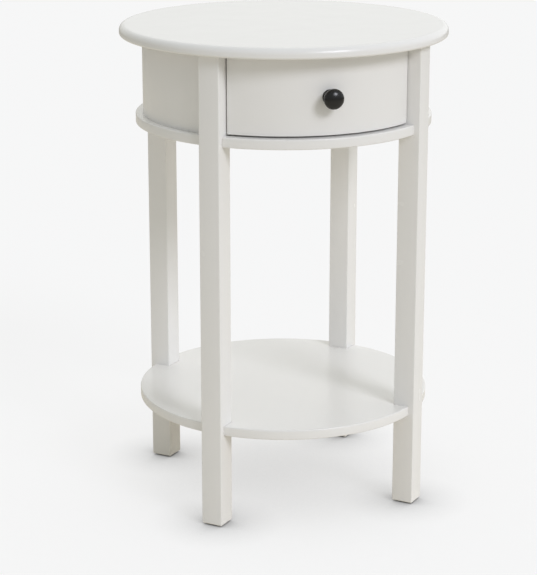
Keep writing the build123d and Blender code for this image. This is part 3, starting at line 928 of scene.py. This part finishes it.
dowel_nodes = {"apron_dowels": "table_frame", "housing_floor_dowels": "table_frame",
               "drawer_front_dowels": "drawer"}
for node, body in dowel_nodes.items():
    piece("fluted_" + node, in_place(node, dowel), beech["z"], body, "beech", node)

# %% [markdown]
# ## Foot pads
# Under each post is a turned nylon pad held by one nail. Its lower edge is rounded, so that the table
# slides without digging in, and a recess hides the nail's head.

# %% Foot pads and their nails
pad_radius = 9 * mm
recess_radius_pad = 2.4 * mm
recess_height = 0.6 * mm
for name in leg_names:
    low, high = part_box("foot_glide_" + name)
    t = np.linspace(0, np.pi / 2, 6)[:, None]
    soft = 0.7 * mm
    lower = np.hstack([pad_radius - soft * (1 - np.sin(t)), soft * (1 - np.cos(t))])
    recess = [[0.3 * mm, recess_height], [recess_radius_pad - 0.1 * mm, recess_height],
              [recess_radius_pad, recess_height - 0.1 * mm], [recess_radius_pad + 0.15 * mm, 0]]
    upper = [[pad_radius, high.z - 0.2 * mm], [pad_radius - 0.2 * mm, high.z], [pad_radius - mm, high.z]]
    grid = turned(np.vstack([recess, lower, upper]), 72) + [*posts[name][0], 0]
    piece("foot_pad_" + name, [grid], nylon, "table_frame", "nylon", "foot_glide_" + name)
wear(zinc, "foot_glide_nails", "drawer_bottom_pins")
wear(zinc, *["top_bracket_" + name for name in leg_names], *["shelf_bracket_" + name for name in leg_names])

# %% [markdown]
# ## The knob
# The knob is turned: a ball flattened at the front, on a waisted neck, standing on a flared rose. All
# are surfaces of revolution about an axis that points straight out of the drawer front. The front and
# the back are halves of two ellipsoids, (R cos b, c + d sin b), with a depth d of their own. The neck
# is a parabola, r = waist + flare t t with t from -1 to 1 along it, so it is widest at both its ends.

# %% Knob
low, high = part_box("knob")
face = np.array([(low.x + high.x) / 2, -drum_radius, (low.z + high.z) / 2])
out_of_the_front = ((1, 0, 0), (0, 0, 1), (0, -1, 0))
knob_radius = (high.z - low.z) / 2
knob_dome = 7.0 * mm
knob_back = 10.5 * mm
knob_reach = -low.y - knob_dome - drum_radius
rose_low, rose_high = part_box("knob_base")
rose_radius = (rose_high.x - rose_low.x) / 2
rose_height = -drum_radius - rose_low.y
waist_radius = 4.9 * mm
neck_flare = 0.9 * mm
spigot_radius = 3.9 * mm

meeting = math.acos((waist_radius + neck_flare) / knob_radius)
neck_end = knob_reach - knob_back * math.sin(meeting)
t = np.linspace(-1, 1, 15)[:, None]
neck = np.hstack([waist_radius + neck_flare * t ** 2, rose_height + (neck_end - rose_height) * (t + 1) / 2])
b = np.linspace(-meeting, math.radians(89.5), 64)[1:, None]
depth = np.where(b < 0, knob_back, knob_dome)
ball = np.hstack([knob_radius * np.cos(b), knob_reach + depth * np.sin(b)])
spigot = np.array([[spigot_radius, 0.0], [spigot_radius, rose_height]])
grid = placed(turned(np.vstack([spigot, neck, ball]), 96), face, *out_of_the_front)
piece("turned_knob", [grid], black_enamel, "drawer", "black_enamel", "knob")

# %% Rose
rose_bore = 4.1 * mm
flare = np.linspace(0, np.pi / 2, 14)[:, None]
flare_in = 2.7 * mm
rim_height = 0.8 * mm
flank = np.hstack([rose_radius - flare_in * (1 - np.cos(flare)),
                   rim_height + (rose_height - rim_height) * np.sin(flare)])
profile = np.vstack([[[rose_bore, 0], [rose_radius - 0.3 * mm, 0], [rose_radius, 0.3 * mm]], flank,
                     [[rose_bore, rose_height], [rose_bore, 0]]])
piece("flared_rose", [placed(turned(profile), face, *out_of_the_front)], black_enamel, "drawer",
      "black_enamel", "knob_base")

# %% [markdown]
# ## The screw that holds the knob
# Behind the front, a machine screw and a washer pull the knob tight. Its pan head has straight sides, a
# round shoulder and a deeper cross, and its thread is finer than a wood screw's.

# %% Washer and knob screw
low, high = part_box("knob_washer")
washer_radius = (high.z - low.z) / 2
washer_bore = 2.15 * mm
soft = 0.15 * mm
thickness = high.y - low.y
profile = np.array([[washer_bore, 0], [washer_radius - soft, 0], [washer_radius, soft],
                    [washer_radius, thickness - soft], [washer_radius - soft, thickness],
                    [washer_bore, thickness], [washer_bore, 0]])
grid = placed(turned(profile), ((low.x + high.x) / 2, high.y, (low.z + high.z) / 2), *out_of_the_front)
piece("washer", [grid], zinc, "drawer", "zinc_steel", "knob_washer")

pan_radius = 4 * mm
pan_height = 2.6 * mm
pan_shoulder = 1.2 * mm
pan_recess = 1.4 * mm
bolt_radius = 2 * mm
bolt_core = 1.62 * mm
bolt_pitch = 0.7 * mm
blunt_end = 8 * mm                         # how far past its end a bolt would come to a point


def machine_screw(length):
    """A pan-head screw along +Z from its head. Rows: flat with its cross, shoulder, side, thread."""
    a = around(64)
    r_flat = np.linspace(0.05 * mm, pan_radius - pan_shoulder, 16)[:, None]
    z_flat = pan_recess * cross_recess(r_flat, a)
    t = np.linspace(0, np.pi / 2, 8)[1:, None]
    r_side = np.vstack([pan_radius - pan_shoulder * (1 - np.sin(t)), [[pan_radius]], [[bolt_radius]]])
    z_side = np.vstack([pan_shoulder * (1 - np.cos(t)), [[pan_height]], [[pan_height]]])
    z_body = np.linspace(pan_height + 0.1 * mm, length, 160)[:, None]
    r_body = threaded(z_body, a, 0, length + blunt_end, bolt_core, bolt_radius, bolt_pitch, blunt_end)
    radius = np.vstack([r_flat + 0 * a, r_side + 0 * a, r_body])
    height = np.vstack([z_flat, z_side + 0 * a, z_body + 0 * a])
    return round_grid(radius, height, a)


piece("pan_head_screw", in_place("knob_screw", machine_screw), zinc, "drawer", "zinc_steel", "knob_screw")
